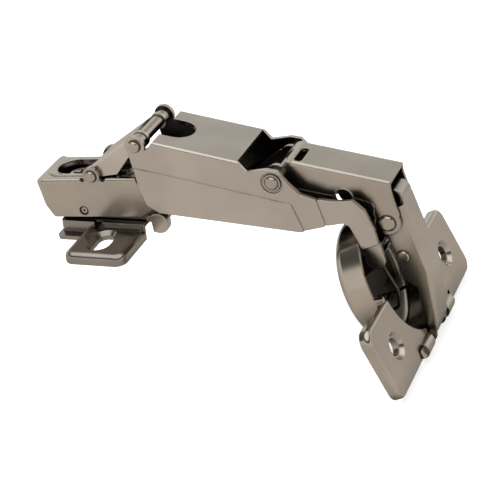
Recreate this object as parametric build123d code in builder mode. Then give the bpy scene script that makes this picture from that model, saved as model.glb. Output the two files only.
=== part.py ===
"""Concealed wide-angle cup hinge with its mounting plate, in millimetres.

+Z points away from the cabinet side, the origin is the middle of the line through the
two screw slots on the plate's underside, +X runs along the arm to the cabinet front and
+Y along the hinge pins. The hinge stands open, as far as it goes.
"""
import os
from math import atan2, cos, degrees, hypot, radians, sin

from build123d import *

# Sheet, pins and fits
SHEET = 1.2
LINK_SHEET = 1.0
BEND_R = 0.9
PIN_R = 1.2
HEAD_R = 1.6
HEAD_RISE = 0.8
HEAD_EDGE = 0.3
CORNER_R = 0.4
SHEET_CORNER_R = 0.5
TUBE_R = 2.3
SPACER_R = 2.0
RUN_FIT = 0.05
FIXED_FIT = 0.02
SIDE_GAP = 0.1

# Half widths of the nested channels, each inside the one before
SHELL_HALF = 10.45
SHELL_PRESS = 0.4
SHELL_NECK = 0.4
SHELL_LUG = 1.05
ARM_HALF = 7.6
CARRIER_HALF = ARM_HALF - SHEET - SIDE_GAP
SHORT_HALF = ARM_HALF - SHEET - SIDE_GAP
INNER_HALF = ARM_HALF - SHEET - 2 * SIDE_GAP
CUP_LINK_HALF = INNER_HALF - LINK_SHEET - 2 * SIDE_GAP

# Pivots on the arm's side plane: along the arm, and up from the plate
ARM_TILT = 3.17
REAR_PIVOT = (-3.49, 18.05)
TOP_PIVOT = (13.74, 28.20)
CROSS_PIVOT = (50.67, 16.99)
FRONT_PIVOT = (
    CROSS_PIVOT[0] - (TOP_PIVOT[0] - REAR_PIVOT[0]),
    CROSS_PIVOT[1] - (TOP_PIVOT[1] - REAR_PIVOT[1]),
)
CUP_REAR_PIVOT = (74.92, -6.17)
KNEE_PIVOT = (78.65, 3.09)
CUP_FRONT_PIVOT = (84.67, -31.27)
CARRIER_PIVOT = (-8.3, 7.6)

# Arm channel
ARM_TOP = 17.1
ARM_BACK = -20.8
ARM_BOTTOM = 5.7
ARM_WEB_END = -6.1
ARM_HOLE_BACK = -17.3
ARM_HOLE_R = 4.4
ARM_HOLE_RIM = 0.9
ARM_HOLE_LIP = 0.35
ARM_HOLE_LIP_R = 0.315
ARM_EAR_BITE = 0.8
ARM_EAR_REACH = 3.2
EAR_R = 2.5
NOSE_EAR_R = 2.6
BRIDGE_BACK = -0.6
BRIDGE_FRONT = 7.6
BRIDGE_TOP = 12.4
ARM_BACK_KNEE = (0.9, 9.4)
ARM_BACK_FOOT = -18.0
ARM_BACK_INSET = 0.35
ARM_NOSE_START = 9.0
ARM_NOSE_LOWER = [(13.0, 8.0), (17.0, 8.2)]
ARM_NOSE_UPPER = [(18.0, 12.0), (11.0, 13.6)]
ARM_NOSE_BACK = 2.0
ARM_NOSE_SAG = 2.4
ARM_NOSE_RISE = 2.5
ARM_TOP_END = 9.6
ARM_CORNER_R = 1.0

# Links
EYE_R = 2.3
CROSS_EYE_R = 3.2
KNEE_EYE_R = 3.5
CUP_LINK_KNEE_R = 2.6
CUP_LINK_EYE_R = 1.95
SHORT_RISE = 2.1
SHORT_WEB_START = 3.0
SHORT_WEB_END = 17.4
SHORT_INSET = 1.0
SHORT_SIDE = [(12.8, -2.0), (6.4, -3.9), (1.4, -1.6)]
SHORT_FRONT_DROP = -2.0
INNER_WEB_LEFT = (55.2, 20.9)
INNER_WEB_LEAN = -13.6
INNER_WEB_LENGTH = 26.4
INNER_SHOULDER = 1.5
INNER_BROW = (52.4, 19.6)
INNER_LEG = [(80.8, 12.2), (82.1, 5.0), (80.0, 1.5), (76.0, 2.0), (75.3, 6.0)]
INNER_UNDER = [(76.0, 8.6), (71.0, 10.2), (64.8, 11.0)]
INNER_ARCH = (67.9, 10.6)
INNER_ARCH_R = 2.3
INNER_CAP_R = 4.0
INNER_CAPS = [(25, -INNER_HALF, 1.4), (70, 1.4, INNER_HALF)]
INNER_NOTCH = (7.6, 2.2)
INNER_NOTCH_SPOT = (1.3, -1.2)
KNEE_HEAD_R = 2.0
KNEE_HEAD_RISE = 0.6
TONGUE_HALF = 3.4
TONGUE_R = 3.0
TONGUE_CENTRE = (80.0, 8.3)
TONGUE_ARC = (-12, 106)
CUP_LINK_WEB = [(82.9, 7.3), (87.3, -12.0), (87.5, -27.5)]
CUP_LINK_FOOT = (1.9, 0.4)
CUP_LINK_LOWER = [(83.6, -26.0), (83.6, -17.0), (80.2, -14.2)]
CUP_LINK_UPPER = [(78.9, -6.0), (76.5, 1.0), (77.4, 6.4)]
SPRING_RIVET = (81.0, -7.4)
SPRING_RIVET_RISE = 0.5

# Shell
SHELL_EAR_R = 2.8
SHELL_WEB_START = (18.8, 29.0)
SHELL_WEB_LEAN = -14.4
SHELL_WEB_LENGTH = 23.9
SHELL_SLOT_R = 4.8
SHELL_SLOT_DEPTH = 8.2
SHELL_LUG_R = 2.6
SHELL_SKIN = 0.5
SHELL_EAR_BACK = (-2.6, -1.0)
SHELL_LOWER = [(12.3, 15.0), (13.4, 10.6), (16.6, 8.5), (56.1, 2.8)]
SHELL_UPPER = [(57.7, 13.6), (55.0, 16.8), (52.6, 20.2), (49.6, 20.8), (44.0, 20.2)]
SHELL_EAR_FRONT = [(17.4, 27.4), (15.6, 26.6)]
SHELL_PRESS_TOP = [(12.0, 21.8), (55.0, 10.8), (57.2, 3.0)]
NECK_TOP = (61.9, 11.9)
NECK_BOTTOM = (63.4, 4.3)
NECK_LOWER = [(68.0, 5.0), (69.6, 4.2), (71.4, -0.5)]
NECK_UPPER = [(76.2, 2.9), (74.4, 8.6), (71.6, 11.4), (66.4, 11.3)]
LUG_BACK = (71.9, -2.7)
LUG_FRONT = (76.6, -1.2)
LUG_END = [(72.4, -6.2), (77.4, -5.2)]
DISH_R = 3.0
DISH_DEPTH = 0.3
WASHER_R = 2.4
WASHER_RISE = 0.4
CROSS_HEAD_R = 1.75
CROSS_HEAD_RISE = 0.5

# Cup, in its own frame from the line of its screw holes
FLANGE_LEAN = 70.0
HOLE_LINE = (82.41, -22.70)
CUP_SHEET = 0.8
CUP_R = 17.5
CUP_CENTRE = -9.5
CUP_DEPTH = 11.5
CUP_BOTTOM_R = 2.5
CUP_FLARE = 15.0
FLANGE_RISE = 2.8
FLANGE_SHEET = 1.0
FLANGE_REACH = 34.9
FLANGE_BACK = -10.2
FLANGE_FRONT = 10.4
FLANGE_CORNER_R = 3.4
FLANGE_EDGE_R = 1.3
FLANGE_CREASE = 5.5
FLANGE_CREASE_DROP = 0.45
CUP_HOLE_SPACING = 48.0
CUP_SCREW_R = 2.4
CUP_SINK_R = 3.8
SINK_COLLAR = 0.7
SINK_DROP = 0.4
SINK_TAPER = 25
RIM_DROP = 3.2
HUMP_R = 2.2
HUMP_INNER = 7.4
HUMP_OUTER = 13.0
CUP_PIN_REACH = 15.2
CUP_PIN_SQUARE = 2.6
BRACKET_SHEET = 1.2
BRACKET_EAR = 2.0
BRACKET_FOOT = 12.0
BRACKET_FRONT = 5.0
SPRING_R = 0.45
SPRING_GAP = 0.5
SPRING_LINE = [(75.64, -10.55), (78.2, -16.67), (78.37, -18.98), (77.73, -22.13)]
SPRING_FOOT = -1.5

# Mounting plate
PLATE_SHEET = 1.2
WING_RISE = 3.0
WING_REACH = 24.7
WING_BACK = -8.3
WING_FRONT = 9.9
WING_EDGE_R = 1.8
WING_CORNER_R = 3.0
RAIL_RISE = 4.3
RAIL_HALF = 9.0
RAIL_BACK = -16.4
RAIL_FRONT = 11.3
RAIL_CORNER_R = 1.5
RAIL_TAPER = 4.0
RAIL_SLOT_START = 9.3
RAIL_NOTCH = (-4.4, 2.4, 1.8)
FOOT_REACH = 11.8
FOOT_RISE = 1.2
SLOT_SPACING = 32.0
SLOT_R = 2.3
SLOT_LENGTH = 9.0
SLOT_SINK_R = 3.4
HOOK_LINE = [
    (9.8, 4.7),
    (11.7, 4.65),
    (11.7, 1.8),
    (14.4, 1.8),
    (16.2, 3.4),
    (15.6, 5.6),
    (14.2, 6.8),
    (10.4, 6.4),
]

# Carrier and screws
CARRIER_BACK = -16.6
CARRIER_TOP = 13.2
CARRIER_WEB_FRONT = -6.4
CLAMP_X = -11.8
CLAMP_HEAD_R = 3.5
CLAMP_HEAD_RISE = 1.7
CLAMP_SHANK_R = 1.8
SIDE_SCREW_X = 3.4
SIDE_SCREW_TOP = 17.5
SIDE_SCREW_R = 3.0
SIDE_SCREW_RINGS = 3
SIDE_SCREW_GROOVE = (0.6, 0.5)
SIDE_SCREW_SHANK = 4.0
SIDE_SCREW_CROSS = (4.0, 0.8, 1.2)
CLAMP_HEAD_EDGE = 0.4
CLAMP_CROSS = (4.6, 1.1, 1.3)
CLAMP_CROSS_TAPER = 10
CARRIER_GAP = 0.3
CARRIER_FRONT = 12.0
CARRIER_STEP = [(12.0, 7.4), (4.0, 9.0), (-4.6, 9.0)]

FAR = 80.0

tilt = radians(ARM_TILT)
side = Plane(origin=(0, 0, 0), x_dir=(cos(tilt), 0, sin(tilt)), z_dir=(0, -1, 0))
level_side = Plane(origin=(0, 0, 0), x_dir=(1, 0, 0), z_dir=(0, -1, 0))


def to_base(point):
    """A point of the arm's side plane in the plate's frame."""
    along, up = point
    return (along * cos(tilt) - up * sin(tilt), 0, along * sin(tilt) + up * cos(tilt))


def direction(lean):
    """A direction on the arm's side plane, in degrees up from the arm."""
    angle = radians(lean + ARM_TILT)
    return (cos(angle), 0, sin(angle))


def shifted(point, along, up, lean=0.0):
    """A point moved along and square to a leaning line."""
    angle = radians(lean)
    return (
        point[0] + along * cos(angle) - up * sin(angle),
        point[1] + along * sin(angle) + up * cos(angle),
    )


cup_plane = Plane(
    origin=to_base(HOLE_LINE),
    x_dir=direction(-FLANGE_LEAN),
    z_dir=direction(90 - FLANGE_LEAN),
)


def cup_point(point):
    """A point of the arm's side plane in the cup's frame: along the flange, and up from it."""
    along = point[0] - HOLE_LINE[0]
    up = point[1] - HOLE_LINE[1]
    lean = radians(FLANGE_LEAN)
    return (along * cos(lean) - up * sin(lean), along * sin(lean) + up * cos(lean))


def from_cup(along, up):
    """A point of the cup's frame on the arm's side plane."""
    lean = radians(FLANGE_LEAN)
    return (
        HOLE_LINE[0] + along * cos(lean) + up * sin(lean),
        HOLE_LINE[1] - along * sin(lean) + up * cos(lean),
    )


def face(points, round_r=0.0, eyes=(), holes=(), plane=side, sharp=()):
    """A closed side outline with rounded corners, round ends and round holes."""
    corner_radii = [0.0 if point in sharp else round_r for point in points]
    with BuildSketch(plane) as drawn:
        with BuildLine():
            FilletPolyline(*points, radius=corner_radii, close=True)
        make_face()
        for centre, radius in eyes:
            with Locations(centre):
                Circle(radius)
        for centre, radius in holes:
            with Locations(centre):
                Circle(radius, mode=Mode.SUBTRACT)
    return drawn.sketch


def disc(centre, radius, plane=side):
    """A round area on a side plane."""
    with BuildSketch(plane) as drawn:
        with Locations(centre):
            Circle(radius)
    return drawn.sketch


def walls(drawn, outer, sheet, mode=Mode.ADD):
    """The same outline as a pair of sheet walls, mirrored about the hinge's middle."""
    for turn in (1, -1):
        inner_face = drawn.moved(Location((0, turn * (outer - sheet), 0)))
        extrude(inner_face, amount=sheet, dir=(0, turn, 0), mode=mode)


def bend_edges(candidates, start, end, half, plane=side):
    """The two outer edges of a channel's bends along one line of its side view."""
    chosen = ShapeList()
    for edge in candidates:
        middle = plane.to_local_coords(edge.center())
        along = (end[0] - start[0], end[1] - start[1])
        length = hypot(*along)
        offset = (middle.X - start[0]) * along[1] - (middle.Y - start[1]) * along[0]
        reach = (middle.X - start[0]) * along[0] + (middle.Y - start[1]) * along[1]
        on_line = abs(offset) / length < RUN_FIT and 0 < reach < length * length
        if on_line and abs(abs(middle.Z) - half) < FIXED_FIT and edge.length > 2 * BEND_R:
            chosen.append(edge)
    return chosen


def channel(points, web_line, inward, half, sheet, round_r=SHEET_CORNER_R, plane=side):
    """A folded channel: its side outline, with the web along one edge of that outline."""
    extrude(face(points, round_r, plane=plane, sharp=web_line), amount=half, both=True)
    bends = ShapeList()
    for start, end in zip(web_line, web_line[1:]):
        bends += bend_edges(edges(), start, end, half, plane)
    fillet(bends, BEND_R)
    first, second = web_line[:2]
    last, before = web_line[-1], web_line[-2]
    start = (first[0] + FAR * (first[0] - second[0]), first[1] + FAR * (first[1] - second[1]))
    end = (last[0] + FAR * (last[0] - before[0]), last[1] + FAR * (last[1] - before[1]))
    under = [start] + list(web_line[1:-1]) + [end]
    near = [(x + sheet * inward[0], z + sheet * inward[1]) for x, z in under]
    deep = [(x + FAR * inward[0], z + FAR * inward[1]) for x, z in reversed(under)]
    extrude(face(near + deep, plane=plane), amount=half - sheet, both=True, mode=Mode.SUBTRACT)


def open_top(point, lean, start, end, half):
    """Cuts the web away over one stretch of its line, and leaves the walls."""
    strip = [
        shifted(point, start, 2 * SHEET, lean),
        shifted(point, end, 2 * SHEET, lean),
        shifted(point, end, -2 * SHEET, lean),
        shifted(point, start, -2 * SHEET, lean),
    ]
    extrude(face(strip), amount=half, both=True, mode=Mode.SUBTRACT)


def curl(centre, radius, sheet, start, span):
    """A strip of sheet bent round a centre, from one direction on through a span in degrees."""
    with BuildSketch(side) as drawn:
        with Locations(centre):
            Circle(radius)
            Circle(radius - sheet, mode=Mode.SUBTRACT)
        reach = [shifted(centre, 3 * radius, 0, start + share * span) for share in (0, 0.5, 1)]
        with BuildLine():
            Polyline(centre, *reach, close=True)
        make_face(mode=Mode.INTERSECT)
    return drawn.sketch


def bore(centre, radius, half=FAR, plane=side):
    """A round hole across the hinge."""
    extrude(disc(centre, radius, plane), amount=half, both=True, mode=Mode.SUBTRACT)


def pin(centre, radius, half, head_r=0.0, head_rise=0.0):
    """A round pin across the hinge, with flat riveted heads outside its half length."""
    extrude(disc(centre, radius), amount=half, both=True)
    if head_rise > 0:
        for turn in (1, -1):
            rim = disc(centre, head_r).moved(Location((0, turn * half, 0)))
            extrude(rim, amount=head_rise, dir=(0, turn, 0))
        rims = edges().filter_by(GeomType.CIRCLE).sort_by(Axis.Y)
        chamfer([rims[0], rims[-1]], HEAD_EDGE)


def cross_recess(plane, sizes, taper=0):
    """Cuts a screwdriver's cross of a length, width and depth into the face on a plane."""
    length, width, depth = sizes
    with BuildSketch(plane) as cross:
        Rectangle(length, width)
        Rectangle(width, length)
    extrude(cross.sketch, amount=-depth, taper=taper, mode=Mode.SUBTRACT)


os.makedirs("parts", exist_ok=True)

# Arm channel: web at the back with its long hole, open top in front, ears for two pins
back_knee_in, back_knee_up = ARM_BACK_KNEE
arm_outline = [
    (ARM_BACK, ARM_TOP),
    (ARM_BACK + back_knee_in, back_knee_up),
    (ARM_BACK_FOOT, ARM_BOTTOM),
    (ARM_NOSE_START, ARM_BOTTOM),
    *ARM_NOSE_LOWER,
    shifted(FRONT_PIVOT, -ARM_NOSE_BACK, -ARM_NOSE_SAG),
    shifted(FRONT_PIVOT, 0, ARM_NOSE_RISE),
    *ARM_NOSE_UPPER,
    (ARM_TOP_END, ARM_TOP),
]
web_plane = Plane(origin=to_base((0, ARM_TOP)), x_dir=direction(0), z_dir=direction(90))
with BuildPart() as arm_channel:
    arm_line = [arm_outline[0], arm_outline[-1]]
    channel(arm_outline, arm_line, (0, -1), ARM_HALF, SHEET, ARM_CORNER_R)
    front_length = arm_line[1][0] - ARM_WEB_END
    hole_length = ARM_WEB_END - ARM_HOLE_BACK + 2 * ARM_HOLE_R
    hole_spot = Locations(((ARM_HOLE_BACK + ARM_WEB_END + ARM_HOLE_R) / 2, 0))
    with BuildSketch(web_plane):
        with hole_spot:
            SlotOverall(hole_length + 2 * ARM_HOLE_RIM, 2 * (ARM_HOLE_R + ARM_HOLE_RIM))
    extrude(amount=ARM_HOLE_LIP)
    fillet(faces().sort_by(Axis(web_plane.origin, web_plane.z_dir))[-1].edges(), ARM_HOLE_LIP_R)
    open_top((ARM_WEB_END, ARM_TOP), 0, 0, front_length + SHEET, ARM_HALF - SHEET)
    for ear, ear_r in ((REAR_PIVOT, EAR_R), (FRONT_PIVOT, NOSE_EAR_R)):
        walls(disc(ear, ear_r), ARM_HALF, SHEET)
    back_wall = [
        (ARM_BACK + ARM_BACK_INSET, ARM_TOP),
        (ARM_BACK + ARM_BACK_INSET + SHEET, ARM_TOP),
        (ARM_BACK + back_knee_in + SIDE_GAP + SHEET, back_knee_up),
        (ARM_BACK + back_knee_in + SIDE_GAP, back_knee_up),
    ]
    extrude(face(back_wall), amount=ARM_HALF, both=True)
    bridge = [
        (BRIDGE_BACK, BRIDGE_TOP),
        (BRIDGE_FRONT, BRIDGE_TOP),
        (BRIDGE_FRONT, BRIDGE_TOP - SHEET),
        (BRIDGE_BACK, BRIDGE_TOP - SHEET),
    ]
    extrude(face(bridge), amount=ARM_HALF - SHEET / 2, both=True)
    with BuildSketch(web_plane.offset(SHEET)):
        with hole_spot:
            SlotOverall(hole_length, 2 * ARM_HOLE_R)
    extrude(amount=-2 * SHEET - SIDE_GAP, mode=Mode.SUBTRACT)
    for reach in (-ARM_EAR_REACH, ARM_EAR_REACH):
        bite = disc((REAR_PIVOT[0] + reach, ARM_TOP), ARM_EAR_BITE)
        walls(bite, ARM_HALF, SHEET, mode=Mode.SUBTRACT)
    with BuildSketch(web_plane):
        with Locations((SIDE_SCREW_X, 0)):
            Circle(PIN_R + RUN_FIT)
    extrude(amount=-(ARM_TOP - BRIDGE_TOP + 2 * SHEET), mode=Mode.SUBTRACT)
    bore(REAR_PIVOT, PIN_R + FIXED_FIT)
    bore(FRONT_PIVOT, PIN_R + FIXED_FIT)
    bore(CARRIER_PIVOT, PIN_R + RUN_FIT)
arm_channel.part.label = "arm_channel"
export_step(arm_channel.part, "parts/arm_channel.step")

# Pins of the arm
with BuildPart() as short_link_pin:
    pin(REAR_PIVOT, PIN_R, ARM_HALF, HEAD_R, HEAD_RISE)
short_link_pin.part.label = "short_link_pin"
export_step(short_link_pin.part, "parts/short_link_pin.step")

with BuildPart() as arm_front_pin:
    pin(FRONT_PIVOT, PIN_R, ARM_HALF, HEAD_R, HEAD_RISE)
arm_front_pin.part.label = "arm_front_pin"
export_step(arm_front_pin.part, "parts/arm_front_pin.step")

with BuildPart() as carrier_pin:
    pin(CARRIER_PIVOT, PIN_R, ARM_HALF - 2 * SIDE_GAP)
    chamfer(edges().filter_by(GeomType.CIRCLE), HEAD_EDGE)
carrier_pin.part.label = "carrier_pin"
export_step(carrier_pin.part, "parts/carrier_pin.step")

# Side screw: three rings over a plain shank through the arm's bridge
with BuildPart() as side_screw:
    screw_plane = Plane(
        origin=to_base((SIDE_SCREW_X, BRIDGE_TOP)), x_dir=direction(0), z_dir=direction(90)
    )
    ring = (SIDE_SCREW_TOP - BRIDGE_TOP) / SIDE_SCREW_RINGS
    groove_depth, groove_width = SIDE_SCREW_GROOVE
    for count in range(SIDE_SCREW_RINGS):
        with BuildSketch(screw_plane.offset(count * ring)):
            Circle(SIDE_SCREW_R)
        extrude(amount=ring)
    for count in range(1, SIDE_SCREW_RINGS):
        with BuildSketch(screw_plane.offset(count * ring - groove_width / 2)):
            Circle(SIDE_SCREW_R)
            Circle(SIDE_SCREW_R - groove_depth, mode=Mode.SUBTRACT)
        extrude(amount=groove_width, mode=Mode.SUBTRACT)
    with BuildSketch(screw_plane):
        Circle(PIN_R)
    extrude(amount=-SIDE_SCREW_SHANK)
    cross_recess(screw_plane.offset(SIDE_SCREW_TOP - BRIDGE_TOP), SIDE_SCREW_CROSS)
side_screw.part.label = "side_screw"
export_step(side_screw.part, "parts/side_screw.step")

# Short link: a channel over the two upper pins
short_lean = degrees(
    atan2(TOP_PIVOT[1] - REAR_PIVOT[1], TOP_PIVOT[0] - REAR_PIVOT[0])
)
short_length = hypot(TOP_PIVOT[1] - REAR_PIVOT[1], TOP_PIVOT[0] - REAR_PIVOT[0])


def on_short(along, up):
    """A point of the short link, from its rear pin along its line."""
    return shifted(REAR_PIVOT, along, up, short_lean)


short_inward = shifted((0, 0), 0, -1, short_lean)
short_web = on_short(0, SHORT_RISE)
with BuildPart() as short_link:
    short_outline = [
        on_short(SHORT_INSET, SHORT_RISE),
        on_short(short_length - SHORT_INSET, SHORT_RISE),
        on_short(short_length - SHORT_INSET, SHORT_FRONT_DROP),
        *[on_short(*point) for point in SHORT_SIDE],
    ]
    channel(short_outline, short_outline[:2], short_inward, SHORT_HALF, LINK_SHEET)
    for start, end in ((-EYE_R, SHORT_WEB_START), (SHORT_WEB_END, short_length + EYE_R)):
        open_top(short_web, short_lean, start, end, SHORT_HALF - LINK_SHEET)
    for eye in (REAR_PIVOT, TOP_PIVOT):
        walls(disc(eye, EYE_R), SHORT_HALF, LINK_SHEET)
        bore(eye, PIN_R + RUN_FIT)
short_link.part.label = "short_link"
export_step(short_link.part, "parts/short_link.step")

# Shell: web with its slot, pressed side walls, and goose-neck arms that run into the cup
web_left = shifted(SHELL_WEB_START, 0, 0, SHELL_WEB_LEAN)
web_right = shifted(SHELL_WEB_START, SHELL_WEB_LENGTH, 0, SHELL_WEB_LEAN)
shell_wall_outline = [
    shifted(TOP_PIVOT, *SHELL_EAR_BACK),
    *SHELL_LOWER,
    NECK_BOTTOM,
    NECK_TOP,
    *SHELL_UPPER,
    web_right,
    web_left,
    *SHELL_EAR_FRONT,
]
press_outline = SHELL_PRESS_TOP + list(reversed(SHELL_LOWER))
neck_outline = [NECK_TOP, NECK_BOTTOM, *NECK_LOWER, LUG_BACK, LUG_FRONT, *NECK_UPPER]
lug_outline = [LUG_BACK, *LUG_END, LUG_FRONT]
with BuildPart() as outer_link:
    shell_inward = shifted((0, 0), 0, -1, SHELL_WEB_LEAN)
    channel(shell_wall_outline, [web_right, web_left], shell_inward, SHELL_HALF, SHEET)
    shell_inside = SHELL_HALF - SHEET
    open_top(web_left, SHELL_WEB_LEAN, SHELL_WEB_LENGTH, 2 * SHELL_WEB_LENGTH, shell_inside)
    walls(disc(TOP_PIVOT, SHELL_EAR_R), SHELL_HALF, SHEET)
    bore(TOP_PIVOT, PIN_R + FIXED_FIT)
    shell_web_plane = Plane(
        origin=to_base(web_left),
        x_dir=direction(SHELL_WEB_LEAN),
        z_dir=direction(SHELL_WEB_LEAN + 90),
    )
    with BuildSketch(shell_web_plane):
        with Locations((SHELL_SLOT_DEPTH - SHELL_SLOT_R - FAR / 2, 0)):
            SlotOverall(FAR + 2 * SHELL_SLOT_R, 2 * SHELL_SLOT_R)
    extrude(amount=-2 * SHEET, mode=Mode.SUBTRACT)
    pressed = face(press_outline, 0.0)
    walls(pressed, SHELL_HALF - SHEET + SHELL_PRESS, SHELL_PRESS, mode=Mode.SUBTRACT)
    walls(pressed, SHELL_HALF + SHELL_PRESS, SHELL_PRESS)
    walls(face(neck_outline, CORNER_R), SHELL_HALF - SHELL_NECK, SHEET)
    lug = face(lug_outline, 0.0, eyes=[(CUP_REAR_PIVOT, SHELL_LUG_R)])
    walls(lug, SHELL_HALF - SHELL_LUG, SHEET)
    bore(CROSS_PIVOT, PIN_R + RUN_FIT)
    walls(disc(CROSS_PIVOT, DISH_R), SHELL_HALF, DISH_DEPTH, mode=Mode.SUBTRACT)
    bore(CUP_REAR_PIVOT, PIN_R + RUN_FIT, SHELL_HALF - SHELL_LUG - SHELL_SKIN)
outer_link.part.label = "outer_link"
export_step(outer_link.part, "parts/outer_link.step")

# Pin of the shell's ears, with a spacer tube on each side of the short link
with BuildPart() as shell_pin:
    pin(TOP_PIVOT, PIN_R, SHELL_HALF, HEAD_R, HEAD_RISE + SHELL_PRESS)
shell_pin.part.label = "shell_pin"
export_step(shell_pin.part, "parts/shell_pin.step")

tube_start = SHORT_HALF + SIDE_GAP
tube_end = SHELL_HALF - SHEET
for turn, name in ((-1, "near"), (1, "far")):
    with BuildPart() as spacer:
        tube = disc(TOP_PIVOT, SPACER_R).moved(Location((0, turn * tube_start, 0)))
        extrude(tube, amount=tube_end - tube_start, dir=(0, turn, 0))
        extrude(disc(TOP_PIVOT, PIN_R + FIXED_FIT), amount=FAR, both=True, mode=Mode.SUBTRACT)
    spacer.part.label = "spacer_" + name
    export_step(spacer.part, "parts/spacer_" + name + ".step")

# Crossing pin with its washers outside the shell and tubes inside
washer_start = SHELL_HALF - DISH_DEPTH
with BuildPart() as crossing_pin:
    pin(CROSS_PIVOT, PIN_R, washer_start + WASHER_RISE, CROSS_HEAD_R, CROSS_HEAD_RISE)
crossing_pin.part.label = "crossing_pin"
export_step(crossing_pin.part, "parts/crossing_pin.step")

cross_tube_length = SHELL_HALF - SHEET - SIDE_GAP - INNER_HALF
for turn, name in ((-1, "near"), (1, "far")):
    with BuildPart() as washer:
        washer_foot = Location((0, turn * (washer_start + FIXED_FIT), 0))
        ring = disc(CROSS_PIVOT, WASHER_R).moved(washer_foot)
        extrude(ring, amount=WASHER_RISE - FIXED_FIT, dir=(0, turn, 0))
        extrude(disc(CROSS_PIVOT, PIN_R + FIXED_FIT), amount=FAR, both=True, mode=Mode.SUBTRACT)
    washer.part.label = "washer_" + name
    export_step(washer.part, "parts/washer_" + name + ".step")
    with BuildPart() as cross_tube:
        tube = disc(CROSS_PIVOT, TUBE_R).moved(Location((0, turn * INNER_HALF, 0)))
        extrude(tube, amount=cross_tube_length, dir=(0, turn, 0))
        extrude(disc(CROSS_PIVOT, PIN_R + FIXED_FIT), amount=FAR, both=True, mode=Mode.SUBTRACT)
    cross_tube.part.label = "cross_tube_" + name
    export_step(cross_tube.part, "parts/cross_tube_" + name + ".step")

# Inner link: hidden arms from the nose pin, web over the crossing, legs to the knee
inner_right = shifted(INNER_WEB_LEFT, INNER_WEB_LENGTH, 0, INNER_WEB_LEAN)
inner_outline = [
    shifted(FRONT_PIVOT, 0, EYE_R, short_lean),
    shifted(CROSS_PIVOT, -INNER_SHOULDER, CROSS_EYE_R, short_lean),
    INNER_BROW,
    INNER_WEB_LEFT,
    inner_right,
    *INNER_LEG,
    *INNER_UNDER,
    shifted(CROSS_PIVOT, INNER_SHOULDER, -CROSS_EYE_R),
    shifted(FRONT_PIVOT, 0, -EYE_R, short_lean),
]
with BuildPart() as inner_link:
    inner_inward = shifted((0, 0), 0, -1, INNER_WEB_LEAN)
    inner_web = [INNER_WEB_LEFT, inner_right]
    channel(inner_outline, inner_web, inner_inward, INNER_HALF, LINK_SHEET, CORNER_R)
    for eye, eye_r in ((FRONT_PIVOT, EYE_R), (CROSS_PIVOT, CROSS_EYE_R), (KNEE_PIVOT, KNEE_EYE_R)):
        walls(disc(eye, eye_r), INNER_HALF, LINK_SHEET)
    bore(FRONT_PIVOT, PIN_R + RUN_FIT)
    bore(CROSS_PIVOT, PIN_R + FIXED_FIT)
    bore(KNEE_PIVOT, PIN_R + FIXED_FIT)
    bore(INNER_ARCH, INNER_ARCH_R)
    inner_web_plane = Plane(
        origin=to_base(INNER_WEB_LEFT),
        x_dir=direction(INNER_WEB_LEAN),
        z_dir=direction(INNER_WEB_LEAN + 90),
    )
    cap_centre = shifted(INNER_WEB_LEFT, 0, -INNER_CAP_R, INNER_WEB_LEAN)
    for span, low, high in INNER_CAPS:
        cap = curl(cap_centre, INNER_CAP_R, LINK_SHEET, INNER_WEB_LEAN + 90, span)
        extrude(cap.moved(Location((0, low, 0))), amount=high - low, dir=(0, 1, 0))
    with BuildSketch(inner_web_plane.offset(LINK_SHEET)):
        with Locations(INNER_NOTCH_SPOT):
            SlotOverall(*INNER_NOTCH, rotation=90)
    extrude(amount=-3 * LINK_SHEET, mode=Mode.SUBTRACT)
inner_link.part.label = "inner_link"
export_step(inner_link.part, "parts/inner_link.step")

for turn, name in ((-1, "near"), (1, "far")):
    with BuildPart() as knee_rivet:
        shank = disc(KNEE_PIVOT, PIN_R).moved(Location((0, turn * (INNER_HALF - LINK_SHEET), 0)))
        extrude(shank, amount=LINK_SHEET, dir=(0, turn, 0))
        head = disc(KNEE_PIVOT, KNEE_HEAD_R).moved(Location((0, turn * INNER_HALF, 0)))
        extrude(head, amount=KNEE_HEAD_RISE, dir=(0, turn, 0))
        rim = edges().filter_by(GeomType.CIRCLE).sort_by(Axis.Y)
        chamfer(rim[0 if turn < 0 else -1], HEAD_EDGE)
    knee_rivet.part.label = "knee_rivet_" + name
    export_step(knee_rivet.part, "parts/knee_rivet_" + name + ".step")

# Cup link: web on the outside, walls towards the cup, deep above and narrow below
cup_link_foot, cup_link_rise = CUP_LINK_FOOT
cup_link_outline = [
    CUP_LINK_WEB[0],
    CUP_LINK_WEB[1],
    CUP_LINK_WEB[2],
    shifted(CUP_FRONT_PIVOT, cup_link_foot, cup_link_rise),
    shifted(CUP_FRONT_PIVOT, -cup_link_foot, cup_link_rise),
    *CUP_LINK_LOWER,
    *CUP_LINK_UPPER,
]
with BuildPart() as cup_link:
    channel(cup_link_outline, CUP_LINK_WEB, (-1, 0), CUP_LINK_HALF, LINK_SHEET)
    for eye, eye_r in ((KNEE_PIVOT, CUP_LINK_KNEE_R), (CUP_FRONT_PIVOT, CUP_LINK_EYE_R)):
        walls(disc(eye, eye_r), CUP_LINK_HALF, LINK_SHEET)
        bore(eye, PIN_R + RUN_FIT)
    bore(SPRING_RIVET, PIN_R + FIXED_FIT)
    tongue = curl(TONGUE_CENTRE, TONGUE_R, LINK_SHEET, *TONGUE_ARC)
    extrude(tongue, amount=TONGUE_HALF, both=True)
    tongue_root = [
        shifted(TONGUE_CENTRE, TONGUE_R, 0),
        shifted(TONGUE_CENTRE, TONGUE_R - LINK_SHEET, 0),
        shifted(CUP_LINK_WEB[0], -LINK_SHEET, -LINK_SHEET),
        shifted(CUP_LINK_WEB[0], 0, -LINK_SHEET / 2),
    ]
    extrude(face(tongue_root), amount=TONGUE_HALF, both=True)
cup_link.part.label = "cup_link"
export_step(cup_link.part, "parts/cup_link.step")

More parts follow.
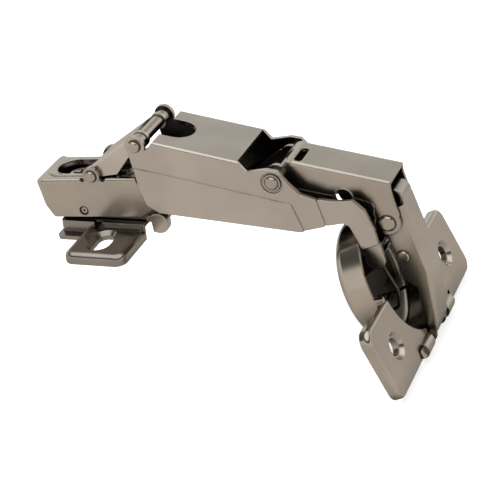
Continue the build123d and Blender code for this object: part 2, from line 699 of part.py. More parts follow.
with BuildPart() as spring_rivet:
    pin(SPRING_RIVET, PIN_R, CUP_LINK_HALF, HEAD_R, SPRING_RIVET_RISE)
spring_rivet.part.label = "spring_rivet"
export_step(spring_rivet.part, "parts/spring_rivet.step")

# Hinge cup: drawn bowl, screw flange with turned rims, humps over the front pin
rear_d, rear_n = cup_point(CUP_REAR_PIVOT)
front_d, front_n = cup_point(CUP_FRONT_PIVOT)
outward = Axis(cup_plane.origin, cup_plane.z_dir)
flange_length = FLANGE_FRONT - FLANGE_BACK
flange_middle = (FLANGE_FRONT + FLANGE_BACK) / 2
with BuildPart() as bowl_space:
    with BuildSketch(cup_plane.offset(CUP_SHEET - CUP_DEPTH)):
        with Locations((CUP_CENTRE, 0)):
            Circle(CUP_R - CUP_SHEET)
    extrude(amount=CUP_DEPTH + HUMP_R)
    inner_foot = edges().filter_by(GeomType.CIRCLE).group_by(outward)[0]
    fillet(inner_foot, CUP_BOTTOM_R - CUP_SHEET)

with BuildPart() as hinge_cup:
    with BuildSketch(cup_plane.offset(-FLANGE_RISE)):
        with Locations((flange_middle, 0)):
            RectangleRounded(flange_length, 2 * FLANGE_REACH, FLANGE_CORNER_R)
    extrude(amount=FLANGE_RISE)
    fillet(faces().sort_by(outward)[-1].edges(), FLANGE_EDGE_R)
    crease = [
        from_cup(FLANGE_CREASE, 0),
        from_cup(2 * FLANGE_FRONT - FLANGE_CREASE, -2 * FLANGE_CREASE_DROP),
        from_cup(2 * FLANGE_FRONT - FLANGE_CREASE, SHEET),
        from_cup(FLANGE_CREASE, SHEET),
    ]
    extrude(face(crease), amount=FAR, both=True, mode=Mode.SUBTRACT)
    with BuildSketch(cup_plane.offset(-FLANGE_RISE)):
        with Locations((flange_middle, 0)):
            RectangleRounded(
                flange_length - 2 * FLANGE_SHEET,
                2 * (FLANGE_REACH - FLANGE_SHEET),
                FLANGE_CORNER_R - FLANGE_SHEET,
            )
    extrude(amount=FLANGE_RISE - FLANGE_SHEET, mode=Mode.SUBTRACT)
    with BuildSketch(cup_plane.offset(-CUP_DEPTH)):
        with Locations((CUP_CENTRE, 0)):
            Circle(CUP_R)
    extrude(amount=CUP_DEPTH - RIM_DROP)
    bowl_foot = edges().filter_by(GeomType.CIRCLE).group_by(outward)[0]
    fillet(bowl_foot, CUP_BOTTOM_R)
    with BuildSketch(cup_plane.offset(-RIM_DROP)):
        with Locations((CUP_CENTRE, 0)):
            Circle(CUP_R)
    extrude(amount=RIM_DROP - FLANGE_SHEET / 2, taper=-CUP_FLARE)
    hump_line = from_cup(front_d, front_n)
    for turn in (1, -1):
        hump = disc(hump_line, HUMP_R).moved(Location((0, turn * HUMP_INNER, 0)))
        extrude(hump, amount=HUMP_OUTER - HUMP_INNER, dir=(0, turn, 0))
    for spot in (-1, 1):
        with BuildSketch(cup_plane):
            with Locations((0, spot * CUP_HOLE_SPACING / 2)):
                Circle(CUP_SINK_R + SINK_COLLAR)
        extrude(amount=SINK_DROP - FLANGE_RISE, taper=SINK_TAPER)
    add(bowl_space.part, mode=Mode.SUBTRACT)
    with BuildSketch(cup_plane.offset(-RIM_DROP)):
        with Locations((FLANGE_BACK - CUP_SHEET, 0)):
            Rectangle(FAR, FAR, align=(Align.MAX, Align.CENTER))
    extrude(amount=FAR, mode=Mode.SUBTRACT)
    with BuildSketch(cup_plane.offset(-FLANGE_RISE)):
        with Locations((front_d - CUP_LINK_EYE_R - SHEET, 0)):
            Rectangle(FAR, 2 * (CUP_LINK_HALF + SHEET), align=(Align.MIN, Align.CENTER))
    extrude(amount=FAR, mode=Mode.SUBTRACT)
    bore(CUP_FRONT_PIVOT, PIN_R + FIXED_FIT, CUP_PIN_REACH)
    with BuildSketch(cup_plane.offset(-FLANGE_RISE)):
        for spot in (-1, 1):
            with Locations((front_d, spot * (HUMP_OUTER + CUP_PIN_SQUARE / 2))):
                Rectangle(CUP_PIN_SQUARE + SHEET, CUP_PIN_SQUARE)
    extrude(amount=FAR, mode=Mode.SUBTRACT)
    with BuildSketch(cup_plane.offset(-FLANGE_RISE)):
        with Locations((CUP_R + CUP_CENTRE + CUP_SHEET, 0)):
            Rectangle(FAR, FAR, align=(Align.MIN, Align.CENTER))
    extrude(amount=-FAR, mode=Mode.SUBTRACT)
    for spot in (-1, 1):
        with BuildSketch(cup_plane):
            with Locations((0, spot * CUP_HOLE_SPACING / 2)):
                Circle(CUP_SINK_R)
        extrude(amount=CUP_SCREW_R - CUP_SINK_R, taper=45, mode=Mode.SUBTRACT)
        with BuildSketch(cup_plane):
            with Locations((0, spot * CUP_HOLE_SPACING / 2)):
                Circle(CUP_SCREW_R)
        extrude(amount=-FAR, mode=Mode.SUBTRACT)
hinge_cup.part.label = "hinge_cup"
export_step(hinge_cup.part, "parts/hinge_cup.step")

# Pressed bracket inside the cup that holds the shell's pin
bracket_outer = SHELL_HALF - SHELL_LUG - SHEET - 2 * SIDE_GAP
floor_n = -CUP_DEPTH + CUP_SHEET
with BuildPart() as cup_bracket:
    foot_start = rear_d - BRACKET_EAR / 2
    foot_end = rear_d + BRACKET_FOOT
    ear_outline = [
        from_cup(rear_d - BRACKET_EAR, rear_n),
        from_cup(rear_d + BRACKET_EAR, rear_n),
        from_cup(rear_d + BRACKET_FRONT, floor_n),
        from_cup(foot_start, floor_n),
    ]
    ear = face(
        ear_outline,
        0.0,
        eyes=[(CUP_REAR_PIVOT, EYE_R)],
        holes=[(CUP_REAR_PIVOT, PIN_R + FIXED_FIT)],
    )
    walls(ear, bracket_outer, BRACKET_SHEET)
    foot = [
        from_cup(foot_start, floor_n),
        from_cup(foot_end, floor_n),
        from_cup(foot_end, floor_n + BRACKET_SHEET),
        from_cup(foot_start, floor_n + BRACKET_SHEET),
    ]
    extrude(face(foot), amount=bracket_outer, both=True)
cup_bracket.part.label = "cup_bracket"
export_step(cup_bracket.part, "parts/cup_bracket.step")

with BuildPart() as cup_rear_pin:
    pin(CUP_REAR_PIVOT, PIN_R, SHELL_HALF - SHELL_LUG - SHELL_SKIN - RUN_FIT)
cup_rear_pin.part.label = "cup_rear_pin"
export_step(cup_rear_pin.part, "parts/cup_rear_pin.step")

with BuildPart() as cup_front_pin:
    pin(CUP_FRONT_PIVOT, PIN_R, HUMP_OUTER + FIXED_FIT)
    for turn in (1, -1):
        with BuildSketch(cup_plane.offset(front_n - CUP_PIN_SQUARE / 2)):
            with Locations((front_d, turn * (CUP_PIN_REACH + HUMP_OUTER + FIXED_FIT) / 2)):
                Rectangle(CUP_PIN_SQUARE, CUP_PIN_REACH - HUMP_OUTER - FIXED_FIT)
        extrude(amount=CUP_PIN_SQUARE)
        end_face = faces().sort_by(Axis.Y)[0 if turn < 0 else -1]
        chamfer(end_face.edges(), HEAD_EDGE)
cup_front_pin.part.label = "cup_front_pin"
export_step(cup_front_pin.part, "parts/cup_front_pin.step")

# Closing spring: a bent wire from the rear pin down to the bowl's floor on both sides
spring_start = (CUP_REAR_PIVOT[0], CUP_REAR_PIVOT[1] - PIN_R - SPRING_R - FIXED_FIT)
spring_end = from_cup(SPRING_FOOT, floor_n + SPRING_R + FIXED_FIT)
spring_path = [spring_start] + SPRING_LINE + [spring_end]
spring_side = bracket_outer - BRACKET_SHEET - SPRING_GAP - SPRING_R
with BuildPart() as closing_spring:
    for turn in (1, -1):
        with BuildLine(side.offset(turn * spring_side)) as wire_line:
            FilletPolyline(*spring_path, radius=4 * SPRING_R)
        start_plane = Plane(origin=wire_line.line @ 0, z_dir=wire_line.line % 0)
        with BuildSketch(start_plane):
            Circle(SPRING_R)
        sweep(path=wire_line.line)
    extrude(disc(spring_end, SPRING_R), amount=spring_side, both=True)
closing_spring.part.label = "closing_spring"
export_step(closing_spring.part, "parts/closing_spring.step")

# Mounting plate: two wings with dished slots, and the rail that carries the arm
wing_length = WING_FRONT - WING_BACK
wing_middle = (WING_FRONT + WING_BACK) / 2
rail_length = RAIL_FRONT - RAIL_BACK
rail_middle = (RAIL_FRONT + RAIL_BACK) / 2
sink_depth = SLOT_SINK_R - SLOT_R
hook_outer = ARM_HALF - SIDE_GAP
hook_inner = hook_outer - 2 * SHEET
slot_inner = hook_inner - 3 * SIDE_GAP
with BuildPart() as base_plate:
    with BuildSketch(Plane.XY):
        with Locations((wing_middle, 0)):
            RectangleRounded(wing_length, 2 * WING_REACH, WING_CORNER_R)
    extrude(amount=WING_RISE)
    fillet(faces().sort_by(Axis.Z)[-1].edges(), WING_EDGE_R)
    with BuildSketch(Plane.XY):
        with Locations((RAIL_BACK, 0)):
            RectangleRounded(
                -2 * RAIL_BACK, 2 * FOOT_REACH, RAIL_CORNER_R, align=(Align.MIN, Align.CENTER)
            )
        with Locations((WING_FRONT - WING_EDGE_R, 0)):
            Rectangle(FAR, 2 * FAR, align=(Align.MIN, Align.CENTER), mode=Mode.SUBTRACT)
    extrude(amount=FOOT_RISE)
    with BuildSketch(Plane.XY):
        with Locations((rail_middle, 0)):
            RectangleRounded(rail_length, 2 * RAIL_HALF, RAIL_CORNER_R)
    extrude(amount=RAIL_RISE, taper=RAIL_TAPER)
    with BuildSketch(Plane.XY):
        with Locations((wing_middle, 0)):
            RectangleRounded(
                wing_length - 2 * PLATE_SHEET,
                2 * (WING_REACH - PLATE_SHEET),
                WING_CORNER_R - PLATE_SHEET,
            )
    extrude(amount=WING_RISE - PLATE_SHEET, mode=Mode.SUBTRACT)
    with BuildSketch(Plane.XY):
        with Locations((rail_middle, 0)):
            Rectangle(rail_length - 2 * PLATE_SHEET, 2 * (RAIL_HALF - PLATE_SHEET))
    extrude(amount=RAIL_RISE - PLATE_SHEET, taper=RAIL_TAPER, mode=Mode.SUBTRACT)
    for spot in (-1, 1):
        with BuildSketch(Plane.XY.offset(WING_RISE)):
            with Locations((0, spot * SLOT_SPACING / 2)):
                SlotOverall(
                    SLOT_LENGTH + 2 * sink_depth + PLATE_SHEET,
                    2 * SLOT_SINK_R + PLATE_SHEET,
                    rotation=90,
                )
        extrude(amount=PLATE_SHEET / 2 - WING_RISE)
    for spot in (-1, 1):
        with BuildSketch(Plane.XY.offset(WING_RISE)):
            with Locations((0, spot * SLOT_SPACING / 2)):
                SlotOverall(SLOT_LENGTH + 2 * sink_depth, 2 * SLOT_SINK_R, rotation=90)
        extrude(amount=-sink_depth, taper=45, mode=Mode.SUBTRACT)
        with BuildSketch(Plane.XY.offset(WING_RISE)):
            with Locations((0, spot * SLOT_SPACING / 2)):
                SlotOverall(SLOT_LENGTH, 2 * SLOT_R, rotation=90)
        extrude(amount=-FAR, mode=Mode.SUBTRACT)
    for spot in (-1, 1):
        with BuildSketch(Plane.XY):
            with Locations((RAIL_SLOT_START, spot * (RAIL_HALF + slot_inner) / 2)):
                Rectangle(FAR, RAIL_HALF - slot_inner, align=(Align.MIN, Align.CENTER))
        extrude(amount=FAR, mode=Mode.SUBTRACT)
    notch_x, notch_length, notch_depth = RAIL_NOTCH
    with BuildSketch(Plane.XY.offset(RAIL_RISE - notch_depth)):
        for spot in (-1, 1):
            with Locations((notch_x, spot * RAIL_HALF)):
                Rectangle(notch_length, 2 * PLATE_SHEET)
    extrude(amount=FAR, mode=Mode.SUBTRACT)
base_plate.part.label = "base_plate"
export_step(base_plate.part, "parts/base_plate.step")

# Clip carrier: inverted channel in the arm with hooks round the rail's front
carrier_foot = RAIL_RISE + CARRIER_GAP
carrier_x, _, carrier_z = to_base(CARRIER_PIVOT)
with BuildPart() as clip_carrier:
    carrier_outline = [
        (CARRIER_BACK, CARRIER_TOP),
        (CARRIER_BACK, carrier_foot),
        (CARRIER_FRONT, carrier_foot),
        *CARRIER_STEP,
        (CARRIER_WEB_FRONT, CARRIER_TOP),
    ]
    carrier_wall = face(
        carrier_outline,
        SHEET_CORNER_R,
        holes=[((carrier_x, carrier_z), PIN_R + FIXED_FIT)],
        plane=level_side,
    )
    walls(carrier_wall, CARRIER_HALF, SHEET)
    carrier_web = [
        (CARRIER_BACK, CARRIER_TOP),
        (CARRIER_WEB_FRONT, CARRIER_TOP),
        (CARRIER_WEB_FRONT, CARRIER_TOP - SHEET),
        (CARRIER_BACK, CARRIER_TOP - SHEET),
    ]
    extrude(face(carrier_web, plane=level_side), amount=CARRIER_HALF, both=True)
    walls(face(HOOK_LINE, SHEET_CORNER_R, plane=level_side), hook_outer, hook_outer - hook_inner)
    with BuildSketch(Plane.XY):
        with Locations((CLAMP_X, 0)):
            Circle(CLAMP_SHANK_R + RUN_FIT)
    extrude(amount=FAR, mode=Mode.SUBTRACT)
clip_carrier.part.label = "clip_carrier"
export_step(clip_carrier.part, "parts/clip_carrier.step")

# Clamp screw with a cross recess
with BuildPart() as clamp_screw:
    with BuildSketch(Plane.XY.offset(CARRIER_TOP)):
        with Locations((CLAMP_X, 0)):
            Circle(CLAMP_HEAD_R)
    extrude(amount=CLAMP_HEAD_RISE)
    chamfer(edges().filter_by(GeomType.CIRCLE).sort_by(Axis.Z)[-1], CLAMP_HEAD_EDGE)
    with BuildSketch(Plane.XY.offset(CARRIER_TOP)):
        with Locations((CLAMP_X, 0)):
            Circle(CLAMP_SHANK_R)
    extrude(amount=carrier_foot - CARRIER_TOP + CARRIER_GAP)
    head_top = Plane(origin=(CLAMP_X, 0, CARRIER_TOP + CLAMP_HEAD_RISE))
    cross_recess(head_top, CLAMP_CROSS, CLAMP_CROSS_TAPER)
clamp_screw.part.label = "clamp_screw"
export_step(clamp_screw.part, "parts/clamp_screw.step")
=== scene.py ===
"""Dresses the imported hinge: plated steel, a plain studio, and the photograph's viewing angle."""
import math

import bpy
from mathutils import Matrix, Vector


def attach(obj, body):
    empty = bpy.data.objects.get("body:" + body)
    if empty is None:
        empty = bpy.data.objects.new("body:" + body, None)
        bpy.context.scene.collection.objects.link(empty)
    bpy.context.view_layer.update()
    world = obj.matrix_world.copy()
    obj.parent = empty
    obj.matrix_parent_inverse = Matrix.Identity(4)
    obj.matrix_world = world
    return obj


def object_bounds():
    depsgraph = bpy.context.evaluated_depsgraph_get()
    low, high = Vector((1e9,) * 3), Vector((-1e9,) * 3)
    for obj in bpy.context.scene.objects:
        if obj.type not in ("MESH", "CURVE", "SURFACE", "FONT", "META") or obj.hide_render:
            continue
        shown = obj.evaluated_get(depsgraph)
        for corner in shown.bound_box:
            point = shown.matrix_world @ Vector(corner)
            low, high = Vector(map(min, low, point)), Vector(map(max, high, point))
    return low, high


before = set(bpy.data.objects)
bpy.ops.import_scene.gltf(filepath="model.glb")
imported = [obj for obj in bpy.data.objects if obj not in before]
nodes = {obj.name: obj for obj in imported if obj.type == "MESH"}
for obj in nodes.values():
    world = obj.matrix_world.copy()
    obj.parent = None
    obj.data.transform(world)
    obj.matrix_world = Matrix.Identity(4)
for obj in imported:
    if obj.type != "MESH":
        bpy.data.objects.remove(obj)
cad_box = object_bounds()

MM = 0.001
SIDES = ((-1, "near"), (1, "far"))

# Camera: the angle, roll and distance of the photograph, in degrees, millimetres and metres
CAMERA_AZIMUTH = 25.095
CAMERA_ELEVATION = 28.167
CAMERA_ROLL = -8.943
CAMERA_LENS = 114.85
CAMERA_SENSOR = 36.0
CAMERA_SPOT = (0.198912, -0.348234, 0.199180)
CAMERA_NEAR = 0.01

# The arm's tilt in degrees. Places are on its side plane, as (along, up), in millimetres
ARM_TILT = 3.17

# The inner link's wall: its faces across the hinge, its outline and the arch cut from it
WALL_INNER = 5.21
WALL_OUTER = 6.19
WALL_BACK_EDGE = [(52.8, 14.3), (64.6, 11.6), (65.62, 10.9)]
WALL_FRONT_EDGE = [(71.2, 10.5), (75.6, 9.0), (76.4, 6.4), (76.4, 3.2), (75.1, 2.6), (73.6, 4.2)]
WALL_LOWER_EDGE = [(71.6, 6.3), (69.6, 7.3), (66.0, 7.1), (61.0, 8.2), (57.4, 9.8), (54.2, 12.2)]
ARCH = (67.9, 10.6)
ARCH_R = 2.3
ARCH_FROM = 172.0
ARCH_TO = 368.0
ARCH_STEPS = 20
ARCH_RIM_OFFSET = 0.25
ARCH_RIM_THICK = 0.28
ARCH_RIM_FACE = 6.2
ARCH_RIM_FROM = -20.0
ARCH_RIM_SPAN = 215.0
# The block seen through the arch, a dark piece of painted shade behind it
BLOCK = (68.9, 11.3)
BLOCK_R = 2.7
BLOCK_FACES = (-5.15, -4.3)
BLOCK_SOFT = 0.2

# Dark lines round the riveted heads, painted shade of the gap where each head meets its wall and
# grease there: pin, radius, thickness, place across the hinge, body
HEAD_LINES = {
    "knee_line": ("knee_rivet_near", 2.14, 0.26, 6.24, "inner"),
    "spring_line": ("spring_rivet", 1.72, 0.26, 5.04, "cup_side"),
    "rear_line": ("short_link_pin", 1.68, 0.18, 7.64, "arm"),
    "top_line": ("shell_pin", 1.68, 0.18, 10.49, "shell"),
    "cross_line": ("crossing_pin", 1.81, 0.15, 10.59, "inner"),
    "washer_line": ("crossing_pin", 2.47, 0.15, 10.19, "inner"),
    "carrier_line": ("carrier_pin", 1.28, 0.15, 7.56, "carrier"),
}
RING_STEPS = 40
WIRE_SIDES = 8

# The back end of the arm's long hole: its round, the longer round that it fills, and its lip
ARM_TOP = 17.1
HOLE_BACK = -12.9
HOLE_R = 4.4
FILLED_BACK = -15.1
FILLED_R = 4.6
FILLER_ABOVE = 0.33
FILLER_BELOW = 1.15
LIP_R = 4.75
LIP_THICK = 0.35
LIP_ABOVE = 0.2
HOLE_STEPS = 24

# The cup's flange: the middle of its screw line, its lean in degrees, half the screws' spacing,
# and the drawn collar round a screw hole as (radius, out) pairs
SCREW_LINE = (82.41, -22.70)
FLANGE_LEAN = 70.0
SCREW_ACROSS = 24.0
COLLAR_RINGS = [(2.41, -1.0), (2.41, -2.75), (2.85, -2.75), (4.2, -0.9)]
COLLAR_STEPS = 40
COLLAR_SHARP = 40.0

# Sleeve on the shell's pin, round hooks of the carrier, and punch marks on the carrier's pin.
# A full round stops just short of its first point
FULL_ROUND = 352.0
SLEEVE_R = 1.75
SLEEVE_HALF = 5.1
SLEEVE_SOFT = 0.15
SLEEVE_STEPS = 40
HOOK = (13.6, 3.45)
HOOK_R = 3.0
HOOK_FROM = -124.0
HOOK_TO = 128.0
HOOK_FACES = (5.2, 7.54)
HOOK_SOFT = 0.25
ROUND_STEPS = 30
MARK_R = 0.4
MARK_ROUND = 345.0
MARK_FACES = (7.3, 7.45)
MARK_STEPS = 23

# Plating: its usual colour, and the two directions of the rolled grain
NICKEL = (0.63, 0.57, 0.49)
GRAIN_ALONG = (600.0, 5000.0, 5000.0)
GRAIN_ACROSS = (5000.0, 600.0, 5000.0)

# Its fine structure: noise scales, how far smudges change colour and polish, and the relief in mm
SMUDGE_SCALE = 70.0
PIT_SCALE = 2400.0
SMUDGE_EDGES = (0.35, 0.65)
DARKER = 0.92
LIGHTER = 1.05
STREAK_RANGE = (0.3, 0.7)
STREAK_SHARE = 0.5
SMOOTHER = 0.9
ROUGHER = 1.12
PIT_SHARE = 0.4
BUMP_STRENGTH = 0.12
BUMP_DEPTH = 0.01

# Painted shade in hollows: openness against brightness. The deepest take each finish's own deepest
# shade
DEEPEST = 0.1
OPENNESS = [(0.4, 0.46), (0.58, 0.81), (0.74, 1.0)]
HOLLOW_SAMPLES = 8
EDGE_SAMPLES = 6

# Walls that face the middle plane from at least this far, in mm, take each finish's own painted shade
INWARD_SHADE_FROM = 2.5

# One finish for each kind of piece. Edge is the rounding seen at its edges and depth the reach
# of its painted shade in hollows, both in mm
FINISHES = {
    "plated_sheet": {"colour": NICKEL, "roughness": 0.24, "grain": GRAIN_ALONG},
    # The shell's plating is a lighter copy of the usual colour: painted light
    "plated_shell_lit": {
        "colour": (0.70, 0.64, 0.565), "roughness": 0.24, "grain": GRAIN_ALONG,
        "edge": 0.4, "inward_shade": 0.12,
    },
    "plated_link": {
        "colour": NICKEL, "roughness": 0.24, "grain": GRAIN_ALONG,
        "edge": 0.7, "deepest_shade": 0.2, "inward_shade": 0.25,
    },
    # A lighter copy of the usual colour, for the short link: painted light
    "plated_lit": {"colour": (0.80, 0.73, 0.64), "roughness": 0.24, "grain": GRAIN_ALONG},
    # A darker copy of the usual colour, for the base plate: painted shade
    "plated_plate_shaded": {"colour": (0.42, 0.38, 0.335), "roughness": 0.2, "grain": GRAIN_ACROSS},
    "plated_drawn": {"colour": NICKEL, "roughness": 0.17, "grain": GRAIN_ACROSS, "deepest_shade": 0.06},
    "plated_pin": {
        "colour": NICKEL, "roughness": 0.18, "grain": GRAIN_ACROSS, "edge": 0.15, "depth": 4.0,
    },
    # Near black: painted shade, for pieces that sit in shade
    "painted_shade_dark": {"colour": (0.16, 0.14, 0.12), "roughness": 0.35, "grain": GRAIN_ALONG},
    "plated_screw": {
        "colour": (0.85, 0.80, 0.73), "roughness": 0.2, "grain": GRAIN_ACROSS,
        "depth": 2.0, "deepest_shade": 0.3,
    },
    "spring_wire": {
        "colour": (0.16, 0.145, 0.13), "roughness": 0.3, "grain": GRAIN_ACROSS, "edge": 0.05,
    },
}
WEARERS = {
    "plated_sheet": ["clip_carrier", "arm_channel"],
    "plated_shell_lit": ["outer_link"],
    "plated_link": ["inner_link", "cup_link"],
    "plated_lit": ["short_link"],
    "plated_plate_shaded": ["base_plate"],
    "plated_drawn": ["hinge_cup"],
    "plated_pin": [
        "carrier_pin", "short_link_pin", "arm_front_pin", "shell_pin", "spacer_near", "spacer_far",
        "crossing_pin", "washer_near", "washer_far", "cross_tube_near", "cross_tube_far",
        "knee_rivet_near", "knee_rivet_far", "spring_rivet", "cup_rear_pin", "cup_front_pin",
    ],
    # The cup's bracket is painted near black as the shade inside the cup
    "painted_shade_dark": ["cup_bracket"],
    "plated_screw": ["clamp_screw", "side_screw"],
    "spring_wire": ["closing_spring"],
}

# Studio: height of a mirrored direction against the brightness seen there, behind and in front
SKY_BEHIND = [
    (0.0, (0.30, 0.28, 0.26, 1.0)),
    (0.49, (0.44, 0.42, 0.40, 1.0)),
    (0.53, (0.55, 0.54, 0.53, 1.0)),
    (0.64, (0.69, 0.70, 0.71, 1.0)),
    (0.735, (0.67, 0.68, 0.69, 1.0)),
    (0.775, (0.37, 0.355, 0.325, 1.0)),
    (0.84, (0.37, 0.355, 0.325, 1.0)),
    (0.92, (1.0, 1.0, 1.0, 1.0)),
    (1.0, (1.0, 1.0, 1.0, 1.0)),
]
SKY_FRONT = [
    (0.0, (0.30, 0.28, 0.26, 1.0)),
    (0.5, (0.62, 0.60, 0.57, 1.0)),
    (0.71, (0.66, 0.64, 0.61, 1.0)),
    (0.74, (0.05, 0.05, 0.05, 1.0)),
    (0.83, (0.08, 0.08, 0.08, 1.0)),
    (0.90, (1.1, 1.1, 1.1, 1.0)),
    (1.0, (1.1, 1.1, 1.1, 1.0)),
]
# Where the front turns into the back, from the camera's side to the far side
TURN_START = 0.66
TURN_END = 0.80
SKY_LIGHT = 0.75

# Lamps: place and size in metres, power in watts
KEY_SPOT = (-0.35, -0.35, 0.75)
KEY_POWER = 5.0
FILL_SPOT = (0.8, 0.2, 0.5)
FILL_POWER = 2.5
LAMP_SIZE = 0.5

# Floor: half its width and its gap below the object in metres, its paint, and its lift to white
FLOOR_HALF = 3.0
FLOOR_GAP = 0.0005
FLOOR_PAINT = 0.8
FLOOR_MIRRORED = (0.40, 0.375, 0.35, 1.0)
FLOOR_LIFT = 0.5


def camera_axes(azimuth, elevation, roll):
    """Right, up and forward of a camera at that azimuth, elevation and roll in degrees."""
    a, e, r = (math.radians(value) for value in (azimuth, elevation, roll))
    forward = Vector((-math.sin(a) * math.cos(e), math.cos(a) * math.cos(e), -math.sin(e)))
    level = Vector((math.cos(a), math.sin(a), 0.0))
    upright = level.cross(forward)
    right = math.cos(r) * level + math.sin(r) * upright
    up = -math.sin(r) * level + math.cos(r) * upright
    return right, up, forward


def make_camera():
    """The camera at the photograph's place."""
    data = bpy.data.cameras.new("camera")
    data.lens = CAMERA_LENS
    data.sensor_width = CAMERA_SENSOR
    data.clip_start = CAMERA_NEAR
    camera = bpy.data.objects.new("camera", data)
    bpy.context.scene.collection.objects.link(camera)
    right, up, forward = camera_axes(CAMERA_AZIMUTH, CAMERA_ELEVATION, CAMERA_ROLL)
    turned = Matrix((right, up, -forward)).transposed().to_4x4()
    camera.matrix_world = Matrix.Translation(CAMERA_SPOT) @ turned
    bpy.context.scene.camera = camera


class Shader:
    """A node tree with short calls for its nodes and links."""

    def __init__(self, tree):
        self.tree = tree

    def node(self, kind, **settings):
        """A new node, with its settings or the values of its inputs."""
        made = self.tree.nodes.new("ShaderNode" + kind)
        for name, value in settings.items():
            if hasattr(made, name):
                setattr(made, name, value)
            else:
                made.inputs[name].default_value = value
        return made

    def link(self, start, output, end, entry):
        """Joins an output to an input, each by its name or its number."""
        self.tree.links.new(start.outputs[output], end.inputs[entry])

    def ramp(self, source, output, stops):
        """A colour ramp over a value, with (place, colour) stops."""
        ramp = self.node("ValToRGB")
        band = ramp.color_ramp
        band.elements[0].position, band.elements[0].color = stops[0]
        band.elements[1].position, band.elements[1].color = stops[-1]
        for place, colour in stops[1:-1]:
            band.elements.new(place).color = colour
        self.link(source, output, ramp, "Fac")
        return ramp

    def spread(self, source, output, before, after):
        """A value moved from one range to another, each as (low, high)."""
        moved = self.node("MapRange")
        moved.inputs["From Min"].default_value = before[0]
        moved.inputs["From Max"].default_value = before[1]
        moved.inputs["To Min"].default_value = after[0]
        moved.inputs["To Max"].default_value = after[1]
        self.link(source, output, moved, "Value")
        return moved


def grey(level):
    """An opaque neutral colour."""
    return (level, level, level, 1.0)


def facing_in(shader, place):
    """One where a surface faces the hinge's middle plane, nought elsewhere."""
    spot = shader.node("SeparateXYZ")
    shader.link(place, "Object", spot, "Vector")
    way = shader.node("SeparateXYZ")
    shader.link(place, "Normal", way, "Vector")
    both = shader.node("Math", operation="MULTIPLY")
    shader.link(spot, "Y", both, 0)
    shader.link(way, "Y", both, 1)
    inward = shader.node("Math", operation="LESS_THAN")
    inward.inputs[1].default_value = -INWARD_SHADE_FROM * MM
    shader.link(both, "Value", inward, 0)
    return inward


def shaded_colour(shader, place, smudge, colour, depth, deepest_shade, inward_shade):
    """The plating's colour: smudged, with painted shade that darkens it in hollows and most on walls
    that face in.
    """
    dark = tuple(DARKER * value for value in colour) + (1.0,)
    light = tuple(min(1.0, LIGHTER * value) for value in colour) + (1.0,)
    tone = shader.ramp(smudge, "Fac", list(zip(SMUDGE_EDGES, (dark, light))))
    # Painted shade: the colour darkens where nearby geometry encloses the surface
    hollow = shader.node("AmbientOcclusion", Distance=depth * MM)
    hollow.samples = HOLLOW_SAMPLES
    stops = [(share, grey(level)) for share, level in [(DEEPEST, deepest_shade)] + OPENNESS]
    open_share = shader.ramp(hollow, "AO", stops)
    shaded = shader.node("MixRGB", blend_type="MULTIPLY", Fac=1.0)
    shader.link(tone, "Color", shaded, "Color1")
    shader.link(open_share, "Color", shaded, "Color2")
    # Painted shade on walls that face the hinge's middle plane
    shaded_inward = shader.node("MixRGB", blend_type="MULTIPLY", Color2=grey(inward_shade))
    shader.link(facing_in(shader, place), "Value", shaded_inward, "Fac")
    shader.link(shaded, "Color", shaded_inward, "Color1")
    return shaded_inward


def plated_steel(name, colour, roughness, grain, edge=0.12, depth=25.0, deepest_shade=0.17, inward_shade=1.0):
    """Nickel-plated steel: rolled grain, fine pitting, smudges, soft edges, and painted shade in
    hollows.
    """
    material = bpy.data.materials.new(name)
    material.use_nodes = True
    shader = Shader(material.node_tree)
    principled = material.node_tree.nodes["Principled BSDF"]
    principled.inputs["Metallic"].default_value = 1.0
    place = shader.node("TexCoord")
    stretched = shader.node("Mapping", Scale=grain)
    shader.link(place, "Object", stretched, "Vector")
    rolled = shader.node("TexNoise", Scale=1.0, Detail=6.0, Roughness=0.6)
    shader.link(stretched, "Vector", rolled, "Vector")
    smudge = shader.node("TexNoise", Scale=SMUDGE_SCALE, Detail=3.0, Roughness=0.5)
    shader.link(place, "Object", smudge, "Vector")
    pits = shader.node("TexNoise", Scale=PIT_SCALE, Detail=2.0, Roughness=0.5)
    shader.link(place, "Object", pits, "Vector")
    tinted = shaded_colour(shader, place, smudge, colour, depth, deepest_shade, inward_shade)
    shader.link(tinted, "Color", principled, "Base Color")
    streak = shader.node("MixRGB", Fac=STREAK_SHARE)
    shader.link(smudge, "Fac", streak, "Color1")
    shader.link(rolled, "Fac", streak, "Color2")
    polish = (SMOOTHER * roughness, ROUGHER * roughness)
    finish = shader.spread(streak, "Color", STREAK_RANGE, polish)
    shader.link(finish, "Result", principled, "Roughness")
    relief = shader.node("MixRGB", Fac=PIT_SHARE)
    shader.link(rolled, "Fac", relief, "Color1")
    shader.link(pits, "Fac", relief, "Color2")
    rounded = shader.node("Bevel", Radius=edge * MM)
    rounded.samples = EDGE_SAMPLES
    bump = shader.node("Bump", Strength=BUMP_STRENGTH, Distance=BUMP_DEPTH * MM)
    shader.link(relief, "Color", bump, "Height")
    shader.link(rounded, "Normal", bump, "Normal")
    shader.link(bump, "Normal", principled, "Normal")
    return material


def make_materials():
    """Makes every finish, by name, and dresses the carried-over parts in them."""
    made = {name: plated_steel(name, **finish) for name, finish in FINISHES.items()}
    for name, parts in WEARERS.items():
        for part in parts:
            nodes[part].data.materials.clear()
            nodes[part].data.materials.append(made[name])
    return made


def on_side(point, across):
    """A point of the arm's side plane, in millimetres, at a place across the hinge."""
    along, up = point
    tilt = math.radians(ARM_TILT)
    return Vector((
        MM * (along * math.cos(tilt) - up * math.sin(tilt)),
        MM * across,
        MM * (along * math.sin(tilt) + up * math.cos(tilt)),
    ))


